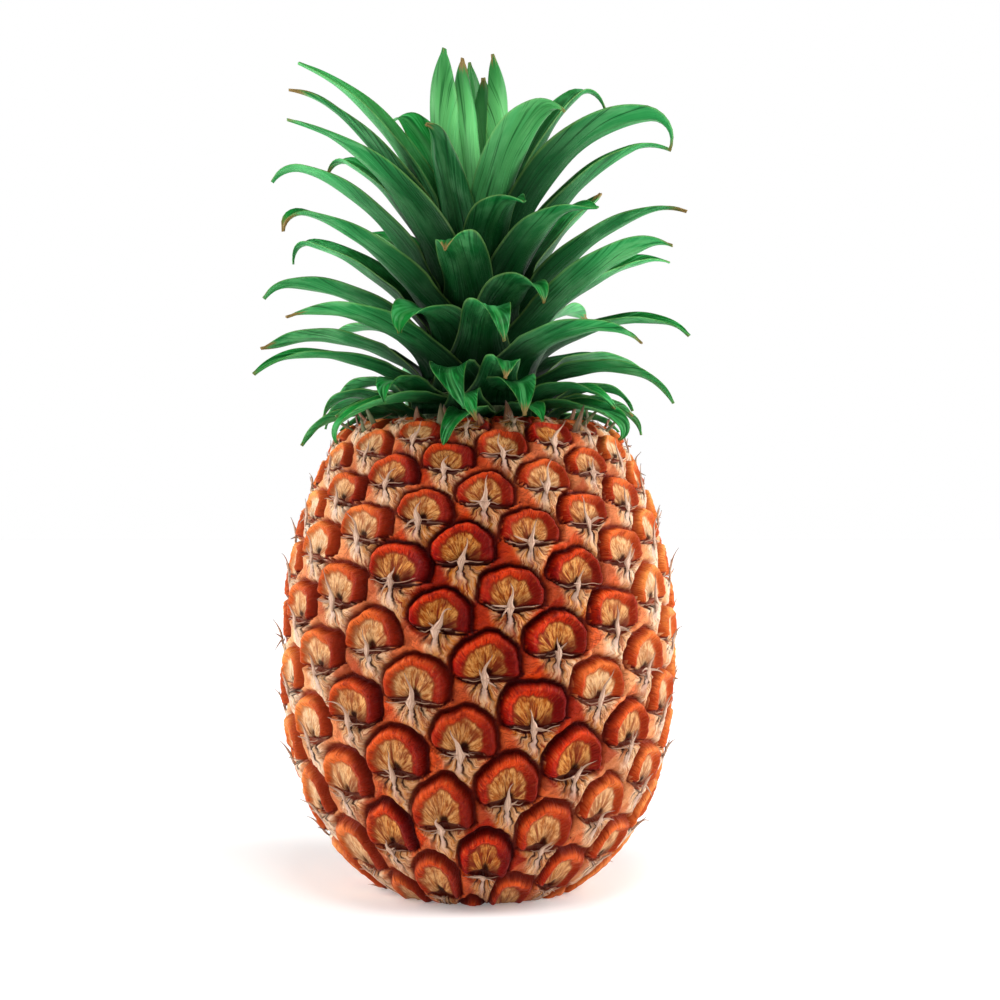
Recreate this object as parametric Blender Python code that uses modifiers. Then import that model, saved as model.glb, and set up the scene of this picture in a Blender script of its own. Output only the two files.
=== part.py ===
"""A whole pineapple: the fruit with its eyes, the cut stalk under it and the leafy crown on it.

Frame: metres, +Z up. The origin is the centre of the cut stalk's face, in the plane the fruit rests on.
"""

import math
import random

import bmesh
import bpy
from mathutils import Vector

MM = 0.001

# ---- fruit: a turned body, measured in the grooves between its eyes ----
FRUIT_RADIUS = 56.6 * MM
WIDEST_HEIGHT = 72.2 * MM  # height of the widest place over the resting plane
FRUIT_RISE = 91.2 * MM  # from the widest place to where the upper curve would close
FRUIT_DROP = 80.1 * MM  # from the widest place to where the lower curve would close
UPPER_ROUNDNESS = 1.93  # 2 is an ellipse, and more gives a fuller shoulder
LOWER_ROUNDNESS = 2.56
CURVE_END = 0.92  # past this share of the rise or the drop the skin runs straight on
SEAT_DROP = 26.9 * MM  # the flat seat under the crown lies this far below the upper curve's closing point

# ---- eyes: numbered up a spiral, each one turn share and one step above the last ----
DIVERGENCE = math.radians(137.455)
EYE_PHASE = math.radians(-81.07)  # azimuth of eye 0
ROWS = (8, 13, 21)  # an eye's neighbours are this many eyes before it and after it
MIDDLE_EYE = 0.556  # eye 0 sits at this share of the skin curve's whole height
EYE_STEP = 5.2e-3  # share of that height from eye 0 to the next
UPPER_CROWDING = 1.63e-5  # how fast the step shrinks towards the crown
LOWER_CROWDING = 0.73e-5  # how fast it grows towards the base
LOWEST_EYE, HIGHEST_EYE = -106, 130  # the net of eyes runs past both ends and is cut there
LATTICE_TILT = math.radians(4.2)  # the whole net leans, so that it sits lower at +X
EYE_FLANK = 1.7 * MM  # width of the slope round an eye
EYE_RELIEF = 1.6 * MM  # height of an eye over its groove
TIP_RELIEF = 1.6 * MM  # height of its dried tip over the eye

# ---- cut stalk in its hollow ----
STALK_RADIUS = 11 * MM
STALK_LENGTH = 13 * MM
HOLLOW_RADIUS = 17 * MM
HOLLOW_DEPTH = 4 * MM
CLEARANCE = 0.3 * MM  # between pieces that touch
ROUND_SEGMENTS = 32

# ---- crown ----
STEM_RADIUS = 20 * MM
STEM_TIP_RADIUS = 1.2 * MM
STEM_SOCKET = 6 * MM  # how deep the crown's stem sits in the fruit
STEM_HEIGHT = 54 * MM  # of the crown's stem over the fruit's seat
CROWN_BEND = -5 * MM  # the crown's growing tip stands this far off the axis, along X
CROWN_HEIGHT = 112 * MM  # at which it does
ARCHING_LEAVES = 51
UPRIGHT_LEAVES = 6
LEAF_DIVERGENCE = math.radians(137.5)
LEAF_PHASE = math.radians(267)  # azimuth of the lowest leaf
LOWEST_BASE = 1.2 * MM  # height of the first leaf's base over the seat
HIGHEST_BASE = 51.5 * MM
BASE_SPACING = 1.15  # over 1 spaces the bases out towards the top
LEAF_THICKNESS = 0.8 * MM
LEAF_STANDOFF = 1.6 * MM  # from the stem's surface to the middle of a leaf's base
LOWEST_LENGTH = 0.636 * FRUIT_RADIUS  # enough to bend down clear of the fruit's shoulder
LONGEST_LENGTH = 84 * MM  # of the last arching leaf
UPRIGHT_LENGTH = 72 * MM
INNERMOST_LENGTH = 58 * MM
LENGTH_GROWTH = 0.8  # under 1 lengthens the leaves early on the way up
LOWEST_HALF_WIDTH = 5.2 * MM
LARGEST_HALF_WIDTH = 9 * MM
INNERMOST_HALF_WIDTH = 7.5 * MM
BROAD_FROM = 0.7  # share of the arching leaves after which they stay as broad
TIP_HALF_WIDTH = 0.5 * MM
ARCHING_TAPER = 1.8  # a higher taper keeps a blade broad for longer
UPRIGHT_TAPER = 3.4
TIP_ROUNDNESS = 0.9
BASE_SPREAD = 0.8  # a leaf's base is wider than its blade by this share
FOOT_SHARE = 0.3  # share of a leaf's length that is its foot: spread at its base, and not yet channelled
LEAN_GAIN, LEAN_DROP = 107, 35  # degrees over the level at which an arching blade leaves the stem
LOW_TIP_LEAN, LOW_TIP_GAIN = -75, 133  # degrees, of the tips low in the crown
HIGH_TIP_LEAN, HIGH_TIP_GAIN = -20, 43  # and high in it
UPRIGHT_LEAN, INNERMOST_LEAN = 72, 80
UPRIGHT_TIP_LEAN, INNERMOST_TIP_LEAN = 97, 104
LOW_CROWN = 0.3  # share of the arching leaves whose feet are shorter
LOWEST_FOOT_BEND = 5 * MM  # how far a leaf runs up the stem before it turns out
FOOT_BEND = 13 * MM
LOWEST_BEND_DELAY, BEND_DELAY = 3.5, 2  # higher leaves more of a blade's bend to its tip
CLASP = math.radians(40)  # most that half a leaf's base wraps round the stem
CLASPED_ANGLE = math.radians(80)  # over the level, of a leaf where it leaves the stem
CHANNEL_DEPTH = 3.8 * MM  # rise of the broadest leaf's edges over its midrib
LEAF_SEGMENTS = 8
SEED = 7

# Leaves that differ from the rule, by rank: scale is of the length and the half width, lean, tip and
# sweep are in degrees and are added to the rule's angles.
TRAITS = {
    0: {"sweep": -8, "scale": 1.0, "lean": 0, "tip": -10},
    3: {"scale": 0.95, "sweep": 4},
    5: {"sweep": -10, "tip": -10, "scale": 1.05},
    6: {"scale": 0.85},
    8: {"scale": 0.9, "tip": -15},
    10: {"lean": 8, "scale": 1.15},
    11: {"tip": -20, "scale": 0.95},
    13: {"sweep": 12, "scale": 0.8, "lean": -15, "tip": -30},
    15: {"lean": 5, "scale": 1.05},
    16: {"lean": -4},
    18: {"lean": -2, "scale": 1.0},
    19: {"scale": 0.95, "tip": -4},
    21: {"scale": 0.8, "lean": 6, "tip": -55},
    23: {"scale": 0.95, "lean": 1},
    24: {"scale": 1.05},
    26: {"scale": 0.6, "lean": -12, "tip": -50},
    27: {"lean": -3},
    28: {"scale": 1.08},
    29: {"scale": 0.58, "lean": 3, "tip": -60},
    31: {"scale": 0.95},
    34: {"scale": 0.64, "widen": 1.05, "lean": 2, "tip": -45},
    36: {"lean": 6, "scale": 1.05},
    37: {"scale": 0.78, "lean": 1, "tip": -45},
    39: {"sweep": -16, "scale": 1.0},
    40: {"widen": 1.15},
    42: {"scale": 0.62, "lean": -1, "tip": -45, "sweep": 8},
    44: {"lean": 2, "tip": 8, "scale": 1.0},
    45: {"scale": 1.1, "lean": -1, "tip": -50},
    47: {"scale": 0.62, "widen": 0.85, "lean": -2, "tip": 66, "sweep": -8},
    48: {"lean": 2, "scale": 1.05},
    50: {"scale": 0.8, "lean": -1, "tip": -30},
    52: {"scale": 1.0, "sweep": 18},
    53: {"scale": 1.0, "lean": 0, "tip": 2, "sweep": -22},
    55: {"scale": 1.03},
}

FRUIT_TOP = WIDEST_HEIGHT + FRUIT_RISE - SEAT_DROP


# ---------------------------------------------------------------- helpers
def clear_scene():
    for obj in list(bpy.data.objects):
        bpy.data.objects.remove(obj, do_unlink=True)


def new_collection(name, helper=False):
    collection = bpy.data.collections.new(name)
    collection.hide_render = helper
    bpy.context.scene.collection.children.link(collection)
    return collection


def new_material(name, color, roughness):
    material = bpy.data.materials.new(name)
    material.use_nodes = True
    shader = material.node_tree.nodes["Principled BSDF"]
    shader.inputs["Base Color"].default_value = (*color, 1)
    shader.inputs["Roughness"].default_value = roughness
    shader.inputs["Metallic"].default_value = 0
    return material


def new_object(name, bm, collection, material=None, smooth_angle=None):
    mesh = bpy.data.meshes.new(name)
    bmesh.ops.recalc_face_normals(bm, faces=bm.faces)
    bm.to_mesh(mesh)
    bm.free()
    if smooth_angle is not None:
        mesh.shade_smooth()
        mesh.set_sharp_from_angle(angle=smooth_angle)
    if material:
        mesh.materials.append(material)
    obj = bpy.data.objects.new(name, mesh)
    collection.objects.link(obj)
    return obj


def mix(low, high, share):
    return low + (high - low) * share


# ---------------------------------------------------------------- fruit
def skin_radius(height):
    """Radius of the skin at a height, in the grooves."""
    if height > WIDEST_HEIGHT:
        share, roundness = (height - WIDEST_HEIGHT) / FRUIT_RISE, UPPER_ROUNDNESS
    else:
        share, roundness = (WIDEST_HEIGHT - height) / FRUIT_DROP, LOWER_ROUNDNESS
    return FRUIT_RADIUS * math.sqrt(1 - min(share, CURVE_END) ** roundness)


def lattice_point(azimuth, number):
    """The place on the skin of a point of the lattice; the number of an eye, or one between."""
    crowding = UPPER_CROWDING if number > 0 else LOWER_CROWDING
    share = MIDDLE_EYE + EYE_STEP * number - crowding * number**2
    height = WIDEST_HEIGHT - FRUIT_DROP + share * (FRUIT_RISE + FRUIT_DROP)
    height -= math.tan(LATTICE_TILT) * skin_radius(height) * math.cos(azimuth)
    radius = skin_radius(height)
    return Vector((radius * math.cos(azimuth), radius * math.sin(azimuth), height))


def turn_of_row(row):
    """Azimuth from an eye to its neighbour along a row, between minus and plus half a turn."""
    return (row * DIVERGENCE + math.pi) % (2 * math.pi) - math.pi


def eye_net():
    """Six-sided cells, one to an eye, whose corners lie midway between three neighbouring eyes."""
    shallow, middle, steep = ROWS
    right_corner = ((turn_of_row(shallow) + turn_of_row(steep)) / 3, (shallow + steep) / 3)
    left_corner = ((turn_of_row(middle) + turn_of_row(steep)) / 3, (middle + steep) / 3)
    bm = bmesh.new()
    corners = {}

    def corner(eye, side):
        if (eye, side) not in corners:
            turn, step = right_corner if side == "right" else left_corner
            point = lattice_point(EYE_PHASE + eye * DIVERGENCE + turn, eye + step)
            corners[eye, side] = bm.verts.new(point)
        return corners[eye, side]

    for eye in range(LOWEST_EYE, HIGHEST_EYE + 1):
        ring = (
            corner(eye - middle, "left"),
            corner(eye, "right"),
            corner(eye, "left"),
            corner(eye - shallow, "right"),
            corner(eye - steep, "left"),
            corner(eye - steep, "right"),
        )
        bm.faces.new(ring)
    bm.normal_update()
    return bm


def raise_eyes(bm):
    """Each cell becomes a low knob with a point in its middle."""
    eyes = list(bm.faces)
    bmesh.ops.inset_individual(bm, faces=eyes, thickness=EYE_FLANK, depth=EYE_RELIEF)
    bmesh.ops.poke(bm, faces=eyes, offset=TIP_RELIEF, center_mode="MEAN")


def cut_level(bm, height, upward):
    """Cuts off what lies beyond a level and closes the cut."""
    cut = bmesh.ops.bisect_plane(
        bm,
        geom=bm.verts[:] + bm.edges[:] + bm.faces[:],
        plane_co=(0, 0, height),
        plane_no=(0, 0, 1 if upward else -1),
        clear_outer=True,
        dist=1e-6,
    )
    rim = [item for item in cut["geom_cut"] if isinstance(item, bmesh.types.BMEdge)]
    bmesh.ops.contextual_create(bm, geom=rim)


def turned_solid(name, outline, collection, segments=ROUND_SEGMENTS):
    """A closed turned solid from an outline of (radius, height) points, from top to bottom."""
    bm = bmesh.new()
    points = [bm.verts.new((radius, 0, height)) for radius, height in outline]
    for start, end in zip(points, points[1:]):
        bm.edges.new((start, end))
    solid = new_object(name, bm, collection)
    screw = solid.modifiers.new("turn", "SCREW")
    screw.steps = screw.render_steps = segments
    screw.use_smooth_shade = True
    screw.use_merge_vertices = True
    screw.merge_threshold = 1e-5
    return solid


def cut_away(fruit, cutter):
    cutter.hide_render = True
    cutter.display_type = "WIRE"
    boolean = fruit.modifiers.new(cutter.name, "BOOLEAN")
    boolean.operation = "DIFFERENCE"
    boolean.object = cutter


def make_fruit(parts, cutters):
    bm = eye_net()
    raise_eyes(bm)
    cut_level(bm, FRUIT_TOP, upward=True)
    cut_level(bm, 0, upward=False)
    skin = new_material("fruit_skin", (0.45, 0.12, 0.03), 0.4)
    fruit = new_object("fruit", bm, parts, skin, smooth_angle=math.radians(25))

    past = 5 * MM  # how far a cutter runs past the face it cuts
    stalk_hole = STALK_RADIUS + CLEARANCE
    slope = (HOLLOW_RADIUS - stalk_hole) / HOLLOW_DEPTH
    hollow = (
        (0, STALK_LENGTH + CLEARANCE),
        (stalk_hole, STALK_LENGTH + CLEARANCE),
        (stalk_hole, HOLLOW_DEPTH),
        (HOLLOW_RADIUS + slope * past, -past),
        (0, -past),
    )
    socket_radius = STEM_RADIUS + CLEARANCE
    socket = (
        (0, FRUIT_TOP + past),
        (socket_radius, FRUIT_TOP + past),
        (socket_radius, FRUIT_TOP - STEM_SOCKET),
        (0, FRUIT_TOP - STEM_SOCKET),
    )
    cut_away(fruit, turned_solid("stalk_hollow", hollow, cutters))
    cut_away(fruit, turned_solid("stem_socket", socket, cutters))
    return fruit


def make_stem_stub(parts):
    bm = bmesh.new()
    bmesh.ops.create_cone(
        bm,
        cap_ends=True,
        segments=ROUND_SEGMENTS,
        radius1=STALK_RADIUS,
        radius2=STALK_RADIUS,
        depth=STALK_LENGTH,
    )
    cut_stalk = new_material("cut_stalk", (0.42, 0.3, 0.15), 0.8)
    stub = new_object("stem_stub", bm, parts, cut_stalk, smooth_angle=math.radians(30))
    stub.location = (0, 0, STALK_LENGTH / 2)
    return stub


# ---------------------------------------------------------------- crown
def stem_radius(height):
    """Radius of the crown's stem at a height over the fruit's seat."""
    return mix(STEM_RADIUS, STEM_TIP_RADIUS, height / STEM_HEIGHT)


def make_crown_stem(parts):
    foot = CLEARANCE - STEM_SOCKET
    outline = (
        (0, STEM_HEIGHT),
        (STEM_TIP_RADIUS, STEM_HEIGHT),
        (STEM_RADIUS, 0),
        (STEM_RADIUS, foot),
        (0, foot),
    )
    stem = turned_solid("crown_stem", outline, parts, ROUND_SEGMENTS // 2)
    stem.location = (0, 0, FRUIT_TOP)
    stem.data.materials.append(new_material("crown_stem", (0.5, 0.52, 0.3), 0.7))
    return stem


def leaf_design(rank, draws):
    """Sizes and angles of the leaf of this rank; rank 0 is the lowest, and the last stands innermost."""
    last = ARCHING_LEAVES + UPRIGHT_LEAVES - 1
    share = min(rank / (ARCHING_LEAVES - 1), 1)
    inner = max(rank - ARCHING_LEAVES + 1, 0) / UPRIGHT_LEAVES
    low = min(share / LOW_CROWN, 1)
    if inner:
        length = mix(UPRIGHT_LENGTH, INNERMOST_LENGTH, inner)
        half_width = mix(LARGEST_HALF_WIDTH, INNERMOST_HALF_WIDTH, inner)
        lean = mix(UPRIGHT_LEAN, INNERMOST_LEAN, inner)
        tip_lean = mix(UPRIGHT_TIP_LEAN, INNERMOST_TIP_LEAN, inner)
    else:
        length = mix(LOWEST_LENGTH, LONGEST_LENGTH, share**LENGTH_GROWTH)
        half_width = mix(LOWEST_HALF_WIDTH, LARGEST_HALF_WIDTH, min(share / BROAD_FROM, 1))
        lean = max(LEAN_GAIN * math.sqrt(share) - LEAN_DROP, 0)
        tip_lean = min(LOW_TIP_LEAN + LOW_TIP_GAIN * share, HIGH_TIP_LEAN + HIGH_TIP_GAIN * share)
    height = mix(LOWEST_BASE, HIGHEST_BASE, (rank / last) ** BASE_SPACING)
    trait = TRAITS.get(rank, {})
    return {
        "azimuth": LEAF_PHASE + rank * LEAF_DIVERGENCE,
        "height": FRUIT_TOP + height,
        "radius": stem_radius(height) + LEAF_STANDOFF,
        "length": length * trait.get("scale", draws.uniform(0.95, 1.05)),
        "half_width": half_width * trait.get("widen", 1),
        "lean": math.radians(lean + trait.get("lean", draws.uniform(-1.5, 1.5))),
        "tip_lean": math.radians(tip_lean + trait.get("tip", draws.uniform(-10, 10))),
        "sweep": math.radians(trait.get("sweep", draws.uniform(-6, 6))),
        "foot_bend": mix(LOWEST_FOOT_BEND, FOOT_BEND, low),
        "delay": mix(LOWEST_BEND_DELAY, BEND_DELAY, low),
        "taper": UPRIGHT_TAPER if inner else ARCHING_TAPER,
    }


def leaf_midrib(leaf, steps):
    """(radius, height, angle over the level) along the midrib, in the upright plane of the leaf."""
    radius, height = leaf["radius"], leaf["height"]
    places = []
    for step in range(steps + 1):
        along = step / steps
        clasped = max(1 - along * leaf["length"] / leaf["foot_bend"], 0) ** 2
        angle = mix(leaf["lean"], leaf["tip_lean"], along ** leaf["delay"])
        angle = mix(angle, max(CLASPED_ANGLE, angle), clasped)
        places.append((radius, height, angle))
        radius += math.cos(angle) * leaf["length"] / steps
        height += math.sin(angle) * leaf["length"] / steps
    return places


def leaf_half_width(leaf, along, radius):
    width = leaf["half_width"] * (1 - along ** leaf["taper"]) ** TIP_ROUNDNESS
    width *= 1 + BASE_SPREAD * max(1 - along / FOOT_SHARE, 0) ** 2
    return min(max(width, TIP_HALF_WIDTH), CLASP * radius)


def leaf_point(leaf, place, along, across):
    """A point of the blade: across runs from -1 at one edge to 1 at the other."""
    radius, height, angle = place
    width = leaf_half_width(leaf, along, radius)
    turn = leaf["azimuth"] + leaf["sweep"] * along**2 + across * width / radius
    channelled = min(along / FOOT_SHARE, 1) ** 2
    rise = CHANNEL_DEPTH * width / LARGEST_HALF_WIDTH * across**2 * channelled
    radius -= rise * math.sin(angle)
    height += rise * math.cos(angle)
    bend = CROWN_BEND * ((height - FRUIT_TOP) / CROWN_HEIGHT) ** 2
    return Vector((radius * math.cos(turn) + bend, radius * math.sin(turn), height))


def make_leaf(name, leaf, parts, material):
    """A flat grid laid along the midrib and folded into a channel, then thickened."""
    fine = 6  # midrib steps to one row of the grid
    places = leaf_midrib(leaf, LEAF_SEGMENTS * fine)[::fine]
    bm = bmesh.new()
    bmesh.ops.create_grid(bm, x_segments=2, y_segments=LEAF_SEGMENTS, size=1)
    for vert in bm.verts:
        row = round((vert.co.y + 1) / 2 * LEAF_SEGMENTS)
        vert.co = leaf_point(leaf, places[row], row / LEAF_SEGMENTS, vert.co.x)
    obj = new_object(name, bm, parts, material, smooth_angle=math.radians(40))
    solidify = obj.modifiers.new("thickness", "SOLIDIFY")
    solidify.thickness = LEAF_THICKNESS
    solidify.offset = 0
    return obj


def make_crown(parts):
    make_crown_stem(parts)
    blade = new_material("leaf_blade", (0.05, 0.22, 0.08), 0.45)
    draws = random.Random(SEED)
    for rank in range(ARCHING_LEAVES + UPRIGHT_LEAVES):
        make_leaf(f"leaf_{rank + 1:02d}", leaf_design(rank, draws), parts, blade)


def main():
    clear_scene()
    parts = new_collection("pineapple")
    cutters = new_collection("cutters", helper=True)
    make_fruit(parts, cutters)
    make_stem_stub(parts)
    make_crown(parts)


main()
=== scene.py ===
"""Looks of a whole pineapple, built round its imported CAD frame: the skin with its eyes and their dried tips,
the cut stalk, the crown's stem and its leaves, on a pale floor in soft studio light."""

import math
import random

import bpy
import numpy as np
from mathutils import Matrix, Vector


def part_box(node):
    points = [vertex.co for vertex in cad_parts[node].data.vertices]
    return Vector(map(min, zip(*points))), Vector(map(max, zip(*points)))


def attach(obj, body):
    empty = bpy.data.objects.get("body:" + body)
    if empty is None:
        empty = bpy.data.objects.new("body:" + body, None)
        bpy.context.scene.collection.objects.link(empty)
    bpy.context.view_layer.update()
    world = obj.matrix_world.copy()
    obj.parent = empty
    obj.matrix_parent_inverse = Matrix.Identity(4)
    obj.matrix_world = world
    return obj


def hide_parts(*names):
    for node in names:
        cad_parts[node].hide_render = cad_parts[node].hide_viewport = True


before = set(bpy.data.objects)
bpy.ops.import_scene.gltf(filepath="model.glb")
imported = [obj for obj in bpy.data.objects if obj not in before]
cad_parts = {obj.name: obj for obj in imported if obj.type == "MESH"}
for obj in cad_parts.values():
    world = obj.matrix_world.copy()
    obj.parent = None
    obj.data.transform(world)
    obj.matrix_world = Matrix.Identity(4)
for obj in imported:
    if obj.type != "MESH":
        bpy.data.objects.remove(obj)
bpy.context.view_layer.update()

MM = 0.001
BODY = "root"

# ---- fruit, as the CAD has it ----
FRUIT_RADIUS = 56.6 * MM
WIDEST_HEIGHT = 72.2 * MM
FRUIT_RISE = 91.2 * MM
FRUIT_DROP = 80.1 * MM
UPPER_ROUNDNESS = 1.93
LOWER_ROUNDNESS = 2.56
CURVE_END = 0.92
SEAT_DROP = 26.9 * MM
FRUIT_TOP = WIDEST_HEIGHT + FRUIT_RISE - SEAT_DROP

# ---- eyes ----
DIVERGENCE = math.radians(137.455)
EYE_PHASE = math.radians(-81.07)
MIDDLE_EYE = 0.556
EYE_STEP = 5.2e-3
UPPER_CROWDING = 1.63e-5
LOWER_CROWDING = 0.73e-5
LOWEST_EYE, HIGHEST_EYE = -106, 130
LATTICE_TILT = math.radians(4.2)
EYE_RISE = 0.87 * MM  # from one eye to the next round the middle of the fruit

# ---- relief of one eye, in millimetres: its crease lies at v = 0, and its arch over it ----
ARCH_CENTRE = (0.5, 3.0)
ARCH_SIZE = (8.9, 7.6)  # half width and height over the arch's centre
ARCH_FULLNESS = 2.3
BRACT_CENTRE = (1.4, -4.0)
BRACT_SIZE = (9.5, 7.0)
BRACT_CREASES = (  # angle from straight down, length, width
    (-0.72, 6.5, 0.13),
    (0.22, 8.5, 0.11),
    (0.80, 6.5, 0.12),
    (-0.22, 6.0, 0.08),
)
GROOVE_FLOOR = -0.8  # between the arches and the bracts, over the bare skin
ARCH_RISE, RIM_RISE = 1.2, 1.75
BRACT_RISE = 2.75
SEARCH_REACH = 18  # an eye's arch and bract lie within this distance of its crease

# ---- cut stalk and crown, as the CAD has them but for the arching leaves' taper and hooks ----
STALK_RADIUS = 11 * MM
STALK_LENGTH = 13 * MM
HOLLOW_RADIUS = 17 * MM
HOLLOW_DEPTH = 4 * MM
STEM_RADIUS = 20 * MM
STEM_TIP_RADIUS = 1.2 * MM
STEM_SOCKET = 6 * MM
STEM_HEIGHT = 54 * MM
CROWN_BEND = -5 * MM
CROWN_HEIGHT = 112 * MM
ARCHING_LEAVES = 51
UPRIGHT_LEAVES = 6
LEAF_DIVERGENCE = math.radians(137.5)
LEAF_PHASE = math.radians(267)  # azimuth of the lowest leaf
LOWEST_BASE = 1.2 * MM  # height of the first leaf's base over the seat
HIGHEST_BASE = 51.5 * MM
BASE_SPACING = 1.15  # over 1 spaces the bases out towards the top
LEAF_THICKNESS = 0.8 * MM
LEAF_STANDOFF = 1.6 * MM  # from the stem's surface to the middle of a leaf's base
LOWEST_LENGTH = 0.636 * FRUIT_RADIUS  # enough to bend down clear of the fruit's shoulder
LONGEST_LENGTH = 84 * MM  # of the last arching leaf
UPRIGHT_LENGTH = 72 * MM
INNERMOST_LENGTH = 58 * MM
LENGTH_GROWTH = 0.8  # under 1 lengthens the leaves early on the way up
LOWEST_HALF_WIDTH = 5.2 * MM
LARGEST_HALF_WIDTH = 9 * MM
INNERMOST_HALF_WIDTH = 7.5 * MM
BROAD_FROM = 0.7  # share of the arching leaves after which they stay as broad
TIP_HALF_WIDTH = 0.5 * MM
ARCHING_TAPER = 2.7  # keeps a blade broad for longer than in the CAD
UPRIGHT_TAPER = 3.4
TIP_ROUNDNESS = 0.9
HOOK_FROM = 0.84  # share of a leaf's length after which its tip hooks
TIP_HOOKS = (0, 120, 300, 520, -120, 200)  # degrees a hooked tip would turn in twice that length
BASE_SPREAD = 0.8  # a leaf's base is wider than its blade by this share
FOOT_SHARE = 0.3  # share of a leaf's length that is its foot: spread at its base, and not yet channelled
LEAN_GAIN, LEAN_DROP = 107, 35  # degrees over the level at which an arching blade leaves the stem
LOW_TIP_LEAN, LOW_TIP_GAIN = -75, 133  # degrees, of the tips low in the crown
HIGH_TIP_LEAN, HIGH_TIP_GAIN = -20, 43  # and high in it
UPRIGHT_LEAN, INNERMOST_LEAN = 72, 80
UPRIGHT_TIP_LEAN, INNERMOST_TIP_LEAN = 97, 104
LOW_CROWN = 0.3  # share of the arching leaves whose feet are shorter
LOWEST_FOOT_BEND = 5 * MM  # how far a leaf runs up the stem before it turns out
FOOT_BEND = 13 * MM
LOWEST_BEND_DELAY, BEND_DELAY = 3.5, 2  # higher leaves more of a blade's bend to its tip
CLASP = math.radians(40)  # most that half a leaf's base wraps round the stem
CLASPED_ANGLE = math.radians(80)  # over the level, of a leaf where it leaves the stem
CHANNEL_DEPTH = 3.8 * MM  # rise of the broadest leaf's edges over its midrib
SEED = 7

# ---- resolution of the visible meshes ----
SKIN_COLUMNS = 600
SKIN_ROW = 0.62 * MM
LEAF_ROWS = 48
LEAF_COLUMNS = 12

# ---- collar between fruit and crown ----
COLLAR_LEAVES = 16
COLLAR_PHASE = math.radians(20)
COLLAR_BRACTS = 34

# ---- looks ----
PALEST = 0.22  # least redness of the skin, on the two opposite sides that face the side lights: partly the fruit's own paler skin, partly painted light
SKIN_DEPTH = 1.35  # deepens the colours of the reddest skin, on the front and back away from the side lights: partly the fruit's own deep red, partly painted shade
SKIN_GLOSS, LEAF_GLOSS = 0.07, 0.09
GRAIN_DEPTH = 0.8 * MM
SKY_OVERHEAD = 0.2
SKY_BEHIND_CAMERA = 0.15
SOFT_BOXES = (  # place, width and height, watts
    ("left_soft", (-0.62, -0.02, 0.28), (0.3, 0.6), 5.0),
    ("right_soft", (0.62, -0.02, 0.32), (0.3, 0.6), 5.6),
    ("top_soft", (0.10, -0.35, 0.80), (0.35, 0.3), 3.6),
)
LIT_POINT = (0, 0, 0.12)
FLOOR_REACH = 4
CAMERA_PLACE = (0.0064, -0.4877, 0.1154)
CAMERA_LENS, CAMERA_SENSOR = 57.96, 36

# Leaves that differ from the rule, by rank, as in the CAD.
TRAITS = {
    0: {"sweep": -8, "scale": 1.0, "lean": 0, "tip": -10},
    3: {"scale": 0.95, "sweep": 4},
    5: {"sweep": -10, "tip": -10, "scale": 1.05},
    6: {"scale": 0.85},
    8: {"scale": 0.9, "tip": -15},
    10: {"lean": 8, "scale": 1.15},
    11: {"tip": -20, "scale": 0.95},
    13: {"sweep": 12, "scale": 0.8, "lean": -15, "tip": -30},
    15: {"lean": 5, "scale": 1.05},
    16: {"lean": -4},
    18: {"lean": -2, "scale": 1.0},
    19: {"scale": 0.95, "tip": -4},
    21: {"scale": 0.8, "lean": 6, "tip": -55},
    23: {"scale": 0.95, "lean": 1},
    24: {"scale": 1.05},
    26: {"scale": 0.6, "lean": -12, "tip": -50},
    27: {"lean": -3},
    28: {"scale": 1.08},
    29: {"scale": 0.58, "lean": 3, "tip": -60},
    31: {"scale": 0.95},
    34: {"scale": 0.64, "widen": 1.05, "lean": 2, "tip": -45},
    36: {"lean": 6, "scale": 1.05},
    37: {"scale": 0.78, "lean": 1, "tip": -45},
    39: {"sweep": -16, "scale": 1.0},
    40: {"widen": 1.15},
    42: {"scale": 0.62, "lean": -1, "tip": -45, "sweep": 8},
    44: {"lean": 2, "tip": 8, "scale": 1.0},
    45: {"scale": 1.1, "lean": -1, "tip": -50},
    47: {"scale": 0.62, "widen": 0.85, "lean": -2, "tip": 66, "sweep": -8},
    48: {"lean": 2, "scale": 1.05},
    50: {"scale": 0.8, "lean": -1, "tip": -30},
    52: {"scale": 1.0, "sweep": 18},
    53: {"scale": 1.0, "lean": 0, "tip": 2, "sweep": -22},
    55: {"scale": 1.03},
}


# ---------------------------------------------------------------- helpers
def mix(low, high, share):
    return low + (high - low) * share


def smooth_step(value, low, high):
    share = np.clip((value - low) / (high - low), 0, 1)
    return share * share * (3 - 2 * share)


def bell(value, centre, width):
    return np.exp(-(((value - centre) / width) ** 2))


def new_mesh_object(name, points, faces, material):
    mesh = bpy.data.meshes.new(name)
    mesh.from_pydata([tuple(p) for p in points], [], [tuple(f) for f in faces])
    mesh.shade_smooth()
    mesh.materials.append(material)
    obj = bpy.data.objects.new(name, mesh)
    bpy.context.scene.collection.objects.link(obj)
    return obj


def add_attribute(obj, name, domain, values):
    attribute = obj.data.attributes.new(name, "FLOAT_VECTOR", domain)
    attribute.data.foreach_set("vector", np.asarray(values, np.float32).ravel())


def keep(obj, slot, *nodes):
    """The piece rides on the one body and stands for CAD nodes, whose parts it hides; its slot is not used."""
    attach(obj, BODY)
    if nodes:
        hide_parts(*nodes)


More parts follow.
